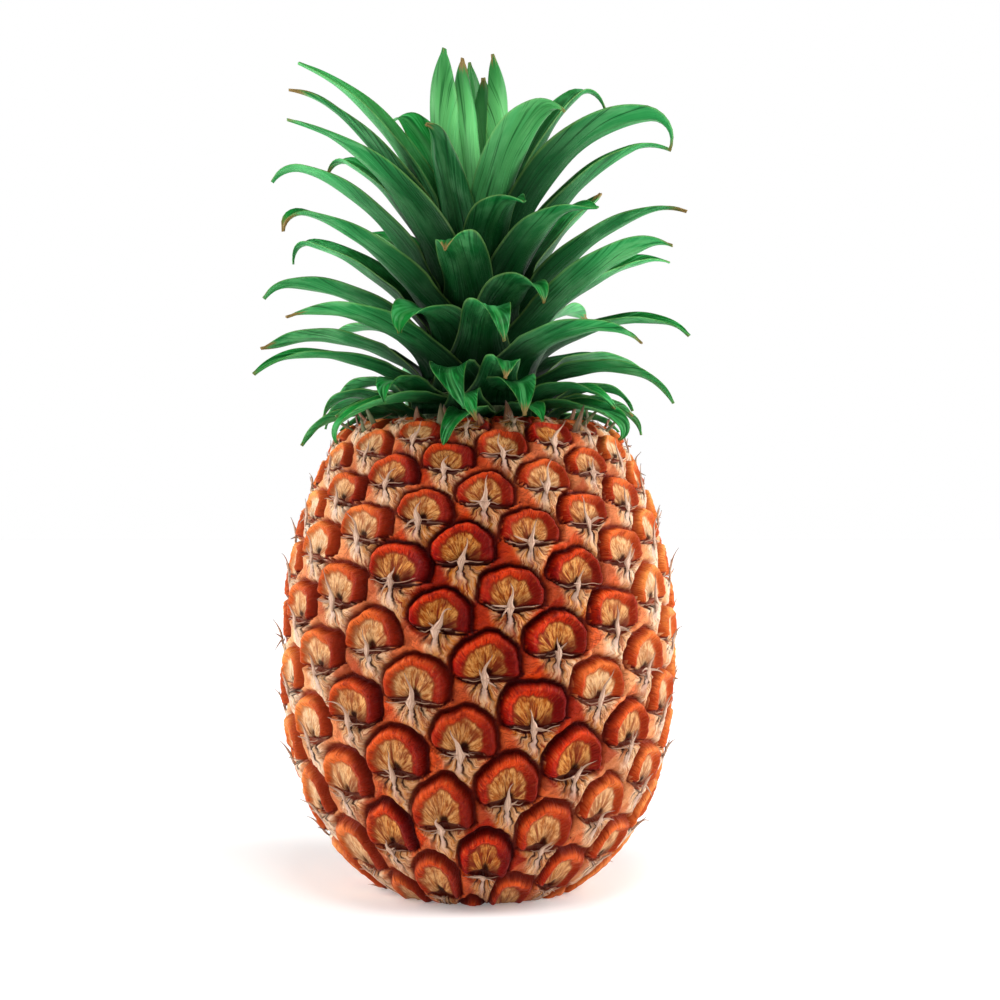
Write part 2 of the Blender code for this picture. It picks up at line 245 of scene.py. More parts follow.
# ---------------------------------------------------------------- materials
class Graph:
    """The node tree of a material or the world, with one short call for each kind of node."""

    def __init__(self, name, world=False):
        self.owner = (bpy.data.worlds if world else bpy.data.materials).new(name)
        self.owner.use_nodes = True
        self.tree = self.owner.node_tree
        self.shader = self.tree.nodes["Background" if world else "Principled BSDF"]

    def node(self, kind, settings=None, inputs=None):
        made = self.tree.nodes.new(kind)
        for name, value in (settings or {}).items():
            setattr(made, name, value)
        for name, value in (inputs or {}).items():
            self.feed(made.inputs[name], value)
        return made

    def feed(self, socket, value):
        if isinstance(value, bpy.types.NodeSocket):
            self.tree.links.new(value, socket)
        elif isinstance(value, tuple) and socket.type == "RGBA":
            socket.default_value = (*value, 1)
        else:
            socket.default_value = value

    def math(self, operation, *values):
        made = self.node("ShaderNodeMath", {"operation": operation})
        for socket, value in zip(made.inputs, values):
            self.feed(socket, value)
        return made.outputs[0]

    def add(self, *values):
        total = values[0]
        for value in values[1:]:
            total = self.math("ADD", total, value)
        return total

    def multiply(self, *values):
        total = values[0]
        for value in values[1:]:
            total = self.math("MULTIPLY", total, value)
        return total

    def ramp(self, value, low, high, to_high=1.0, to_low=0.0):
        """A smooth step from to_low at low to to_high at high."""
        inputs = {"Value": value, "From Min": low, "From Max": high, "To Min": to_low, "To Max": to_high}
        made = self.node("ShaderNodeMapRange", {"interpolation_type": "SMOOTHSTEP"}, inputs)
        return made.outputs["Result"]

    def mix(self, share, low, high):
        made = self.node("ShaderNodeMix", {"data_type": "RGBA"})
        self.feed(made.inputs["Factor"], share)
        self.feed(made.inputs[6], low)
        self.feed(made.inputs[7], high)
        return made.outputs[2]

    def attribute(self, name):
        """The three parts of a mesh attribute."""
        return self.split(self.node("ShaderNodeAttribute", {"attribute_name": name}).outputs["Vector"])

    def split(self, vector):
        return self.node("ShaderNodeSeparateXYZ", None, {"Vector": vector}).outputs

    def distance(self, x, y):
        return self.math("SQRT", self.add(self.multiply(x, x), self.multiply(y, y)))

    def absolute(self, value):
        return self.math("ABSOLUTE", value)

    def coat(self, color, *layers):
        """The colour under layers of (share, colour), the last on top."""
        for share, layer in layers:
            color = self.mix(share, color, layer)
        return color

    def noise(self, vector, scale, detail=3.0, roughness=0.55):
        """Noise at a vector, or at a place given as three values."""
        if isinstance(vector, tuple):
            vector = self.node("ShaderNodeCombineXYZ", None, dict(zip("XYZ", vector))).outputs[0]
        inputs = {"Vector": vector, "Scale": scale, "Detail": detail, "Roughness": roughness}
        return self.node("ShaderNodeTexNoise", None, inputs).outputs["Fac"]

    def place(self):
        return self.node("ShaderNodeTexCoord").outputs["Object"]

    def bump(self, height, distance=GRAIN_DEPTH):
        inputs = {"Height": height, "Distance": distance}
        return self.node("ShaderNodeBump", None, inputs).outputs["Normal"]

    def finish(self, **inputs):
        for name, value in inputs.items():
            self.feed(self.shader.inputs[name.replace("_", " ").title().replace("Ior", "IOR")], value)
        return self.owner


def skin_material():
    """The eyes' skin. The attribute eye holds the place in its own eye in millimetres and the eye's own number
    from 0 to 1; region holds the share of the way to the nearest arch's edge, how red the skin is and its
    relief in millimetres. The redness is partly the fruit's own colour and partly painted light: paler on the
    two sides that face the side lights, deeper on the front and back."""
    g = Graph("fruit_skin")
    u, v, own = g.attribute("eye")
    radial, red, relief = g.attribute("region")
    place = g.place()
    mottle = g.noise(place, 160, 5, 0.65)
    broad = g.noise(place, 45, 3)
    grain = g.noise(place, 1100, 3, 0.6)
    seed = g.multiply(own, 60.0)

    def ripe(pale, deep):
        return g.mix(red, pale, deep)

    # in the arch: angle round the dried tip's foot, and fibres that run out from it
    turn = g.math("ARCTAN2", g.add(v, 0.6), u)
    reach = g.distance(u, v)
    fibres = g.noise((g.multiply(turn, 4.0), g.multiply(reach, 0.28), seed), 1.6, 4, 0.65)
    fine_fibres = g.noise((g.multiply(turn, 15.0), g.multiply(reach, 0.35), seed), 1.5, 3, 0.6)
    rays = g.noise((g.multiply(turn, 2.6), g.multiply(reach, 0.06), g.add(seed, 9.0)), 1.7, 2, 0.5)
    wobble = g.math("MULTIPLY_ADD", g.noise((g.multiply(turn, 2.2), seed, 0.0), 1.6, 3), 0.36, -0.18)
    inner = g.math("MULTIPLY_ADD", u, 0.010, g.add(radial, wobble))

    # a dark red, for the rim's own mottling and for painted shade
    mottle_and_shade_red = ripe((0.52, 0.08, 0.015), (0.17, 0.004, 0.002))
    # painted highlight: each rim turns a lighter orange towards its top, its outer edge and its left, with
    # some random spread
    lit = g.add(v, g.multiply(broad, 9.0), g.multiply(radial, 3.0), g.multiply(u, -0.25))
    rim = g.coat(
        ripe((0.74, 0.18, 0.024), (0.42, 0.011, 0.003)),
        # painted highlight near the top of the rim
        (g.ramp(lit, 10.5, 17.0), ripe((0.94, 0.42, 0.11), (0.72, 0.075, 0.010))),
        (g.ramp(fine_fibres, 0.52, 0.74, 0.45), (0.80, 0.34, 0.13)),
        (g.ramp(fine_fibres, 0.48, 0.32, 0.7), mottle_and_shade_red),
        (g.ramp(mottle, 0.50, 0.70, 0.7), mottle_and_shade_red),
        # painted shade: each rim darker towards its right side and at its outer edge
        (g.ramp(g.add(u, g.multiply(broad, 6.0)), 4.0, 12.0, 0.7), mottle_and_shade_red),
        (g.ramp(radial, 0.88, 1.02, 0.7), mottle_and_shade_red),
    )
    shade = ripe((0.68, 0.31, 0.12), (0.26, 0.026, 0.006))
    # painted shade of a crease at the lower right of the fan, in some of the eyes
    fold_shade = g.multiply(g.ramp(u, 0.6, 3.5), g.ramp(v, 5.0, 1.0), g.ramp(own, 0.3, 0.55, 0.8))
    # painted shade: a near-black spot beside the dried tip's foot, over the dip in the arch's relief
    hollow = g.add(g.distance(g.add(u, -0.9), g.add(v, -1.1)), g.multiply(broad, 1.2))
    fan = g.coat(
        ripe((0.86, 0.55, 0.28), (0.54, 0.17, 0.026)),
        (g.ramp(fibres, 0.36, 0.60), ripe((0.98, 0.82, 0.60), (0.80, 0.44, 0.15))),
        (g.ramp(fine_fibres, 0.50, 0.66, 0.8), shade),
        (g.ramp(mottle, 0.52, 0.70, 0.65), shade),
        (g.multiply(g.ramp(rays, 0.54, 0.62), g.ramp(reach, 9.5, 4.0, 0.85)), shade),
        (g.ramp(radial, 0.52, 0.68, 0.55), shade),
        # painted shade of that crease
        (fold_shade, (0.17, 0.022, 0.008)),
        # painted shade in the hollow beside the tip's foot
        (g.ramp(hollow, 2.4, 1.2, 0.92), (0.05, 0.01, 0.006)),
    )
    arch = g.coat(
        fan,
        (g.ramp(inner, 0.56, 0.68), rim),
        (g.ramp(g.absolute(g.add(inner, -0.62)), 0.06, 0.0, 0.6), shade),
        # painted shade: the arch darkens to near black just above its crease
        (g.ramp(v, 0.9, 0.1), (0.13, 0.006, 0.005)),
    )

    # in the bract: creases that fan down from the tip's foot, a pale ridge and red lobes
    down = g.multiply(v, -1.0)
    sway = g.math("MULTIPLY_ADD", g.noise((g.multiply(reach, 0.35), seed, 3.0), 1.0, 3), 0.8, -0.4)
    fall = g.add(g.math("ARCTAN2", u, g.add(down, 0.8)), sway)
    streaks = g.noise((g.multiply(fall, 5.0), g.multiply(reach, 0.12), seed), 1.3, 4, 0.7)
    threads = g.noise((g.multiply(fall, 16.0), g.multiply(reach, 0.2), seed), 1.3, 3, 0.6)
    furrow = g.noise((g.multiply(fall, 7.0), g.multiply(reach, 0.10), g.add(seed, 4.0)), 1.5, 3, 0.6)
    lobe = g.coat(
        ripe((0.93, 0.58, 0.27), (0.74, 0.095, 0.010)),
        (g.ramp(broad, 0.42, 0.62), ripe((0.86, 0.46, 0.19), (0.42, 0.025, 0.006))),
    )
    outward = g.multiply(g.absolute(g.add(u, -0.8)), 0.85)
    outward = g.add(outward, g.multiply(down, 0.42), g.multiply(mottle, 3.5))
    stain = ripe((0.72, 0.36, 0.15), (0.32, 0.032, 0.008))
    ridge = g.multiply(g.ramp(g.absolute(fall), 0.30, 0.05, 0.85), g.ramp(reach, 7.5, 2.5))
    bract = g.coat(
        ripe((0.97, 0.80, 0.57), (0.70, 0.29, 0.050)),
        (g.ramp(streaks, 0.38, 0.58), ripe((1.0, 0.88, 0.72), (0.80, 0.50, 0.28))),
        (g.ramp(outward, 6.0, 8.6, 0.95), lobe),
        (g.ramp(mottle, 0.50, 0.68, 0.75), stain),
        (g.ramp(threads, 0.50, 0.64, 0.75), stain),
        (g.multiply(g.ramp(furrow, 0.55, 0.63), g.ramp(reach, 1.5, 4.0, 0.8)), stain),
        (ridge, (0.80, 0.62, 0.54)),
    )
    # painted shade: each crease of the bract drawn as a near-black line
    for angle, length, width in BRACT_CREASES:
        line = g.ramp(g.absolute(g.add(fall, -angle)), width, width * 0.15, 0.95)
        line = g.multiply(line, g.ramp(reach, length, length * 0.45), g.ramp(reach, 0.6, 1.4))
        bract = g.mix(line, bract, (0.05, 0.014, 0.012))
    edge = g.multiply(g.ramp(down, 0.9, 0.4, 0.75), g.ramp(g.absolute(u), 7.5, 3.5))
    bract = g.mix(edge, bract, (0.88, 0.70, 0.58))

    # painted shade in the sunken ring round each arch, widest towards its upper right and strongest above the
    # crease
    wide = g.ramp(g.add(v, g.multiply(u, 0.35)), -2.0, 8.0, 0.23, 0.10)
    groove_shade = g.ramp(g.math("DIVIDE", g.absolute(g.add(radial, -1.05)), wide), 1.0, 0.0)
    # a near-black red for painted shade in recesses
    recess_shade = ripe((0.44, 0.075, 0.018), (0.105, 0.002, 0.003))
    color = g.coat(
        bract,
        (g.ramp(v, -0.12, 0.12), arch),
        (g.multiply(groove_shade, g.ramp(v, -9.0, 1.0, 1.0, 0.35)), recess_shade),
        # painted shade: darker wherever the relief sinks low
        (g.ramp(relief, 0.9, -0.6, 0.85), recess_shade),
    )
    # partly the skin's own deeper red, partly painted shade: darkens the reddest skin, on the front and back
    # away from the side lights
    depth = g.math("MULTIPLY_ADD", red, SKIN_DEPTH - 1.0, 1.0)
    color = g.node("ShaderNodeGamma", None, {"Color": color, "Gamma": depth}).outputs[0]

    shape = g.add(g.multiply(fine_fibres, 0.6), g.multiply(threads, 0.6), g.multiply(grain, 0.2))
    shape = g.add(shape, g.multiply(mottle, 0.6), g.multiply(streaks, 0.5))
    rough = g.math("MULTIPLY_ADD", mottle, 0.3, 0.25)
    return g.finish(base_color=color, roughness=rough, specular_ior_level=SKIN_GLOSS, normal=g.bump(shape))


def tip_material():
    """The eyes' dried tips: papery cream feet, paler threads and grey-brown points. The lips along the
    creases, whose own number is over 1, are browner."""
    g = Graph("dried_tip")
    along, across, own = g.attribute("eye")
    threads = g.noise((g.multiply(across, 5.0), g.multiply(along, 1.2), g.multiply(own, 50.0)), 1.6, 4, 0.6)
    body = g.coat(
        (0.34, 0.17, 0.10),
        (g.ramp(threads, 0.36, 0.62), (0.68, 0.45, 0.32)),
        (g.ramp(own, 1.0, 1.01, 0.6), (0.42, 0.20, 0.11)),
        (g.ramp(along, 0.86, 1.0, 0.8), (0.10, 0.06, 0.05)),
        (g.ramp(threads, 0.66, 0.74, 0.8), (0.11, 0.05, 0.04)),
    )
    return g.finish(base_color=body, roughness=0.62, normal=g.bump(threads, 0.3 * MM))


def leaf_material():
    """The blade attribute holds across (-1 to 1), along (0 to 1) and the leaf's own tone; side holds the
    rank from 0 to 1, 1 on the underside, and how dry the leaf's tip is."""
    g = Graph("leaf_blade")
    across, along, tone = g.attribute("blade")
    rank, under, dry = g.attribute("side")
    place = g.place()
    x, y, _ = g.split(place)
    seed = g.multiply(tone, 40.0)
    spread = g.multiply(across, g.ramp(along, 1.0, 0.45, 1.0, 0.12))
    veins = g.noise((g.multiply(spread, 8.0), g.multiply(along, 0.9), seed), 2.2, 3, 0.6)
    fine = g.noise((g.multiply(spread, 32.0), g.multiply(along, 1.6), seed), 1.6, 2)
    cloud = g.noise(place, 60, 3)
    patch = g.noise((g.multiply(across, 1.2), g.multiply(along, 3.0), seed), 1.6, 3)
    speckle = g.noise(place, 800, 3, 0.65)
    own_tone = g.ramp(tone, 0.1, 0.9)
    aside = g.absolute(across)
    body = g.ramp(along, 0.80, 0.40)  # fades fine detail out toward the tip

    upper = g.coat(
        (0.001, 0.070, 0.008),
        (own_tone, (0.004, 0.160, 0.018)),
        (g.ramp(patch, 0.44, 0.66, 0.8), (0.010, 0.24, 0.036)),
        (g.ramp(cloud, 0.55, 0.68, 0.55), (0.07, 0.40, 0.13)),
    )
    lower = g.coat(
        (0.010, 0.18, 0.038),
        (own_tone, (0.030, 0.29, 0.075)),
        (g.ramp(patch, 0.44, 0.66, 0.75), (0.12, 0.44, 0.16)),
    )
    middle = g.multiply(g.ramp(aside, 0.30, 0.0, 0.35), g.ramp(along, 0.15, 0.5))
    # painted shade: near black close to the crown's axis, on all but the top leaves, and towards each leaf's
    # base
    away = g.add(g.distance(x, y), g.multiply(cloud, 0.02))
    deep = g.multiply(g.ramp(away, 0.064, 0.028, 0.85), g.ramp(rank, 0.93, 0.80))
    foot = g.ramp(g.add(along, g.multiply(cloud, 0.25)), 0.55, 0.12, 0.85)
    dark_end = g.multiply(g.ramp(along, 0.62, 0.95, 0.85), g.ramp(rank, 0.84, 0.95))
    sere = g.add(along, g.multiply(g.math("SUBTRACT", veins, 0.5), 0.25), g.multiply(dry, 0.16))
    color = g.coat(
        g.mix(under, upper, lower),
        # painted light: the topmost leaves lighter green, as if lit through from above
        (g.ramp(rank, 0.84, 0.95, 0.8), (0.15, 0.54, 0.16)),
        (g.ramp(veins, 0.52, 0.66, 0.5), (0.08, 0.44, 0.14)),
        (g.ramp(veins, 0.47, 0.33, 0.75), (0.001, 0.045, 0.008)),
        (g.multiply(g.ramp(fine, 0.56, 0.72, 0.3), body), (0.11, 0.46, 0.16)),
        (middle, (0.10, 0.40, 0.12)),
        # painted shade in the crown's core and at the leaves' bases
        (deep, (0.0005, 0.020, 0.003)),
        (foot, (0.0005, 0.016, 0.003)),
        (g.ramp(aside, 0.93, 0.99, 0.22), (0.26, 0.44, 0.10)),
        (g.multiply(g.ramp(speckle, 0.62, 0.75, 0.2), body), (0.12, 0.34, 0.11)),
        (dark_end, (0.008, 0.12, 0.020)),
        (g.ramp(sere, 1.0, 1.06), (0.20, 0.13, 0.04)),
    )
    shape = g.add(g.multiply(veins, 0.9), g.multiply(fine, 0.35), g.multiply(speckle, 0.06))
    normal = g.bump(g.multiply(shape, body))
    rough = g.math("MULTIPLY_ADD", cloud, 0.25, 0.26)
    return g.finish(base_color=color, roughness=rough, specular_ior_level=LEAF_GLOSS, normal=normal)


def collar_material():
    """Small dried bracts between the fruit and its crown."""
    g = Graph("collar_bract")
    along, across, own = g.attribute("eye")
    threads = g.noise((g.multiply(across, 4.0), along, g.multiply(own, 50.0)), 1.6, 4)
    body = g.coat(
        (0.07, 0.020, 0.008),
        (g.ramp(threads, 0.36, 0.62), (0.32, 0.13, 0.05)),
        (g.ramp(own, 0.45, 0.8, 0.7), (0.035, 0.10, 0.02)),
        (g.ramp(along, 0.80, 1.0, 0.8), (0.09, 0.05, 0.03)),
    )
    return g.finish(base_color=body, roughness=0.55, normal=g.bump(threads, 0.5 * MM))


def fibre_material(name, pale, dark, scale, roughness):
    """Cut or torn plant fibre."""
    g = Graph(name)
    place = g.place()
    x, y, z = g.split(place)
    strands = g.noise((x, y, g.multiply(z, 0.12)), scale, 4, 0.65)
    spots = g.noise(place, scale * 0.3, 3)
    color = g.coat(dark, (g.ramp(strands, 0.36, 0.62), pale), (g.ramp(spots, 0.52, 0.72, 0.6), dark))
    return g.finish(base_color=color, roughness=roughness, normal=g.bump(strands))


def floor_material():
    g = Graph("floor")
    cloud = g.noise(g.place(), 3, 2)
    color = g.mix(cloud, (0.90, 0.90, 0.90), (0.93, 0.93, 0.93))
    x, y, _ = g.split(g.place())
    glow = g.ramp(g.distance(x, y), 0.10, 0.7, 0.9, 0.2)  # the floor glows as painted light: faintly near the fruit, where it lightens the cast shadows, and brighter farther out, which hides where the floor meets the sky
    g.shader.inputs["Emission Color"].default_value = (1, 1, 1, 1)
    return g.finish(base_color=color, roughness=0.6, emission_strength=glow)


# ---------------------------------------------------------------- fruit
def skin_radius(height):
    above = height > WIDEST_HEIGHT
    share = np.where(above, (height - WIDEST_HEIGHT) / FRUIT_RISE, (WIDEST_HEIGHT - height) / FRUIT_DROP)
    roundness = np.where(above, UPPER_ROUNDNESS, LOWER_ROUNDNESS)
    return FRUIT_RADIUS * np.sqrt(1 - np.minimum(share, CURVE_END) ** roundness)


def lengths_along(points):
    steps = np.hypot(*np.diff(points, axis=0).T)
    return np.concatenate([[0], np.cumsum(steps)])


class Meridian:
    """The fruit's outline in one upright half plane, from the stalk's hollow over the skin to the crown's
    stem, by its length; and the number of the lattice at each place along it."""

    def __init__(self):
        heights = np.linspace(0, FRUIT_TOP - 5 * MM, 400)
        skin = np.stack([skin_radius(heights), heights], 1)
        start = skin[-1]
        slope = skin[-1] - skin[-2]
        slope /= np.hypot(*slope)
        end = np.array([STEM_RADIUS + 0.5 * MM, FRUIT_TOP + 1.6 * MM])
        turn = np.linspace(0, 1, 60)[1:, None]
        pull = start + slope * 6 * MM
        level = end + np.array([12 * MM, 0.3 * MM])
        over = (
            start * (1 - turn) ** 3
            + 3 * pull * turn * (1 - turn) ** 2
            + 3 * level * turn**2 * (1 - turn)
            + end * turn**3
        )
        foot = np.array(
            [
                [STALK_RADIUS + 0.4 * MM, STALK_LENGTH - 1 * MM],
                [STALK_RADIUS + 0.6 * MM, HOLLOW_DEPTH + 1.5 * MM],
                [STALK_RADIUS + 1.6 * MM, HOLLOW_DEPTH],
                [HOLLOW_RADIUS - 1 * MM, 0.9 * MM],
                [HOLLOW_RADIUS + 1.5 * MM, 0.05 * MM],
            ]
        )
        inside = np.array([[STEM_RADIUS + 0.35 * MM, FRUIT_TOP - STEM_SOCKET + 1 * MM]])
        self.points = np.concatenate([foot, skin, over, inside])
        self.length = lengths_along(self.points)
        self.skin_start = self.length[len(foot)]
        self.seat_end = self.length[-2]
        # the lattice runs on the curve that the skin would follow if it closed
        whole = np.linspace(WIDEST_HEIGHT - FRUIT_DROP, WIDEST_HEIGHT + FRUIT_RISE, 900)
        curve = np.stack([skin_radius(whole), whole], 1)
        self.curve_height = whole
        self.curve_length = lengths_along(curve) - np.interp(0, whole, lengths_along(curve)) + self.skin_start

    def place(self, length):
        return (
            np.interp(length, self.length, self.points[:, 0]),
            np.interp(length, self.length, self.points[:, 1]),
        )

    def normal(self, length):
        """Outward normal (radial, upward)."""
        step = 1.2 * MM
        r0, z0 = self.place(length - step)
        r1, z1 = self.place(length + step)
        size = np.hypot(r1 - r0, z1 - z0)
        return (z1 - z0) / size, -(r1 - r0) / size

    def number(self, length, azimuth):
        """The lattice's running number at a place: a whole number level with an eye."""
        height = np.interp(length, self.curve_length, self.curve_height)
        height = height + math.tan(LATTICE_TILT) * skin_radius(height) * np.cos(azimuth)
        share = (height - WIDEST_HEIGHT + FRUIT_DROP) / (FRUIT_RISE + FRUIT_DROP) - MIDDLE_EYE
        crowding = np.where(share > 0, UPPER_CROWDING, LOWER_CROWDING)
        inside = np.maximum(EYE_STEP**2 - 4 * crowding * share, 0)
        return (EYE_STEP - np.sqrt(inside)) / (2 * crowding)

    def length_of(self, number, azimuth):
        lengths = np.linspace(self.skin_start - 12 * MM, self.seat_end + 2 * MM, 600)
        return np.interp(number, self.number(lengths, azimuth), lengths)


def eye_traits():
    """Small differences from eye to eye: size, turn, height and colour."""
    draws = np.random.default_rng(SEED)
    count = HIGHEST_EYE - LOWEST_EYE + 1
    return {
        "size": draws.uniform(0.95, 1.05, count),
        "turn": np.radians(draws.uniform(-7, 7, count)),
        "lift": draws.uniform(-0.25, 0.35, count),
        "own": draws.uniform(0, 1, count),
        "phase": draws.uniform(0, 2 * math.pi, count),
        "point": draws.uniform(-0.02, 0.09, count),
    }


def crease_bend(u, phase):
    """How far the crease lies above its straight line: highest at the dried tip's foot."""
    return 0.45 * np.exp(-((u / 1.8) ** 2)) - 0.35 + 0.4 * np.sin(0.45 * u + phase) + 0.012 * u**2


def arch_share(u, v, phase, point):
    """0 at the arch's centre and 1 at its uneven edge."""
    u = u - ARCH_CENTRE[0] - 0.06 * v
    v = v - ARCH_CENTRE[1]
    across = np.abs(u / ARCH_SIZE[0]) ** ARCH_FULLNESS
    upward = np.abs(v / ARCH_SIZE[1]) ** ARCH_FULLNESS
    turn = np.arctan2(v, u)
    waves = 0.030 * np.sin(3 * turn + phase) + 0.018 * np.sin(7 * turn + 2 * phase)
    waves += 0.010 * np.sin(17 * turn + 5 * phase)
    waves -= point * np.exp(-(((turn - 1.35) / 0.35) ** 2))
    return (across + upward) ** (1 / ARCH_FULLNESS) * (1 + waves)


def place_in_eye(azimuth, number, index, traits):
    """Millimetres to the right of an eye's middle and above its crease."""
    eye = index + LOWEST_EYE
    turn = (azimuth - EYE_PHASE - eye * DIVERGENCE + math.pi) % (2 * math.pi) - math.pi
    u, v = turn * (FRUIT_RADIUS / MM), (number - eye) * (EYE_RISE / MM)
    size, slant = traits["size"][index], traits["turn"][index]
    cos, sin = np.cos(slant), np.sin(slant)
    u, v = (u * cos + v * sin) / size, (v * cos - u * sin) / size
    return u, v - crease_bend(u, traits["phase"][index])


def eye_places(number, azimuth, traits):
    """For each point of the skin: the share to the nearest arch's edge with that eye's place, and the
    nearest bract with its place."""
    arch, bract = (
        {"share": np.full(number.shape, far), "eye": np.zeros(number.shape, int)}
        | {name: np.zeros(number.shape) for name in "uv"}
        for far in (9.0, 99.0)
    )
    for index in range(HIGHEST_EYE - LOWEST_EYE + 1):
        near = np.abs(number - index - LOWEST_EYE) < SEARCH_REACH * MM / EYE_RISE
        rows = np.flatnonzero(near.any(axis=1))
        if not len(rows):
            continue
        band = slice(rows[0], rows[-1] + 1)
        u, v = place_in_eye(azimuth[band], number[band], index, traits)
        over = arch_share(u, v, traits["phase"][index], traits["point"][index])
        over = over + np.where(v < 0, 0.35 * np.minimum(-v, 3), 0)
        under = ((u - BRACT_CENTRE[0]) / BRACT_SIZE[0]) ** 2 + ((v - BRACT_CENTRE[1]) / BRACT_SIZE[1]) ** 2
        under = under + np.where(v > 0.0, 4 * v, 0)
        for found, value in ((arch, over), (bract, under)):
            nearer = value < found["share"][band]
            for name, new in (("share", value), ("eye", index), ("u", u), ("v", v)):
                found[name][band] = np.where(nearer, new, found[name][band])
    return arch, bract


def arch_relief(arch, traits):
    u, v, share = arch["u"], arch["v"], arch["share"]
    turn = np.arctan2(v + 0.6, u)
    phase = traits["phase"][arch["eye"]]
    wrinkle = np.sin(turn * 19 + phase) * 0.5 + np.sin(turn * 31 + 2 * phase) * 0.4
    rim = bell(share, 0.81, 0.13)
    height = ARCH_RISE + RIM_RISE * rim
    height += wrinkle * 0.16 * smooth_step(share, 0.45, 0.8)
    height += 0.16 * np.sin(turn * 9 + 3 * phase) * smooth_step(share, 0.75, 0.3)
    height += 0.28 * np.sin(turn * 5 + 2 * phase) * smooth_step(share, 0.7, 0.25)
    height -= 0.7 * np.exp(-((u - 0.5) ** 2 + (v - 1) ** 2) / 2.5)
    height -= 0.9 * smooth_step(v, 1.2, 0.1)
    wall = smooth_step(share, 1.04, 0.93)
    return mix(GROOVE_FLOOR, height, wall) + traits["lift"][arch["eye"]] * wall


def bract_relief(arch, bract, traits):
    u, v = bract["u"], bract["v"]
    reach = np.hypot(u, v)
    fall = np.arctan2(u, -v + 0.8)
    height = BRACT_RISE - 0.13 * np.abs(u - 0.3) - 0.17 * np.maximum(-v, 0)
    for angle, length, _ in BRACT_CREASES:
        height -= 0.6 * bell(fall, angle, 0.17) * smooth_step(reach, 0.8, 2.2) * smooth_step(reach, length, 4)
    height += 0.5 * bell(fall, 0.0, 0.14) * smooth_step(reach, 8, 2)
    height += 0.4 * bell(fall, 0.5, 0.16) * smooth_step(reach, 8, 3)
    phase = traits["phase"][bract["eye"]]
    height += 0.14 * np.sin(fall * 15 + phase) * smooth_step(reach, 1.5, 5)
    open_ground = smooth_step(arch["share"], 1.04, 1.22)
    return mix(GROOVE_FLOOR, height, open_ground) + traits["lift"][bract["eye"]] * open_ground


def make_fruit(material, traits):
    meridian = Meridian()
    foot = np.linspace(0, meridian.skin_start, 16)
    rows = int((meridian.seat_end - meridian.skin_start) / SKIN_ROW)
    skin = np.linspace(meridian.skin_start, meridian.seat_end, rows + 1)[1:]
    lengths = np.concatenate([foot, skin, meridian.length[-1:]])
    angles = np.arange(SKIN_COLUMNS) * 2 * math.pi / SKIN_COLUMNS
    length, azimuth = np.meshgrid(lengths, angles, indexing="ij")
    number = meridian.number(length, azimuth)
    arch, bract = eye_places(number, azimuth, traits)
    in_arch = (arch["share"] < 1.03) & (arch["v"] > -0.05)
    relief = np.where(in_arch, arch_relief(arch, traits), bract_relief(arch, bract, traits))
    radius, height = meridian.place(length)
    outward, upward = meridian.normal(length)
    skin_share = smooth_step(length, meridian.skin_start - 6 * MM, meridian.skin_start + 3 * MM)
    crowding = np.clip(radius / FRUIT_RADIUS, 0.3, 1)
    skin_share = skin_share * smooth_step(length, meridian.seat_end + 1 * MM, meridian.seat_end - 8 * MM)
    raised = relief * MM * skin_share * crowding
    radius = radius + outward * raised
    height = np.maximum(height + upward * raised, 0)
    points = np.stack([radius * np.cos(azimuth), radius * np.sin(azimuth), height], -1).reshape(-1, 3)

    index = np.arange(length.size).reshape(length.shape)
    after = np.roll(index, -1, axis=1)
    faces = np.stack([index[:-1], after[:-1], after[1:], index[1:]], -1).reshape(-1, 4)
    fruit = new_mesh_object("pineapple_skin", points, faces, material)

    # each face belongs to one eye, and its corners hold their place in that eye
    def of_face(values):
        return values[:-1, :].reshape(-1)

    eye = np.where(of_face(in_arch), of_face(arch["eye"]), of_face(bract["eye"]))
    azimuth_at = azimuth.reshape(-1)[faces]
    beyond = azimuth_at - azimuth_at[:, :1]
    azimuth_at = azimuth_at - np.where(beyond > math.pi, 2 * math.pi, 0)
    azimuth_at = azimuth_at + np.where(beyond < -math.pi, 2 * math.pi, 0)
    u, v = place_in_eye(azimuth_at, number.reshape(-1)[faces], eye[:, None], traits)
    own = np.broadcast_to(traits["own"][eye][:, None], u.shape)
    add_attribute(fruit, "eye", "CORNER", np.stack([u, v, own], -1))
    # redness round the fruit: pale on the two sides that face the side lights, deep on the front and back;
    # partly the fruit's own colour, partly painted light, varied from eye to eye
    red = mix(PALEST, 1, 0.5 - 0.5 * np.cos(2 * azimuth)) + 0.35 * (traits["own"][arch["eye"]] - 0.5)
    region = np.stack([arch["share"], np.clip(red, 0, 1), relief * skin_share], -1)
    add_attribute(fruit, "region", "POINT", region)
    keep(fruit, "fruit_skin", "fruit")
    return meridian


# ---------------------------------------------------------------- dried tips
class Strands:
    """Thin closed blades gathered into one mesh, each swept along its own path."""

    SIDES = 6

    def __init__(self):
        self.points, self.faces, self.marks = [], [], []

    def add(self, path, widths, thickness, outward, own):
        base, sides = len(self.points), self.SIDES
        for index, (place, width) in enumerate(zip(path, widths)):
            before, after = path[max(index - 1, 0)], path[min(index + 1, len(path) - 1)]
            along = (after - before).normalized()
            side = along.cross(outward).normalized()
            face = side.cross(along).normalized()
            deep = min(thickness, width * 0.85)
            for corner in range(sides):
                turn = corner * 2 * math.pi / sides
                self.points.append(place + side * width * math.cos(turn) + face * deep * math.sin(turn))
                self.marks.append((index / (len(path) - 1), math.cos(turn), own))
        for ring in range(len(path) - 1):
            for corner in range(sides):
                a, b = base + ring * sides + corner, base + ring * sides + (corner + 1) % sides
                self.faces.append((a, b, b + sides, a + sides))
        last = base + (len(path) - 1) * sides
        self.faces.append(tuple(base + corner for corner in reversed(range(sides))))
        self.faces.append(tuple(last + corner for corner in range(sides)))


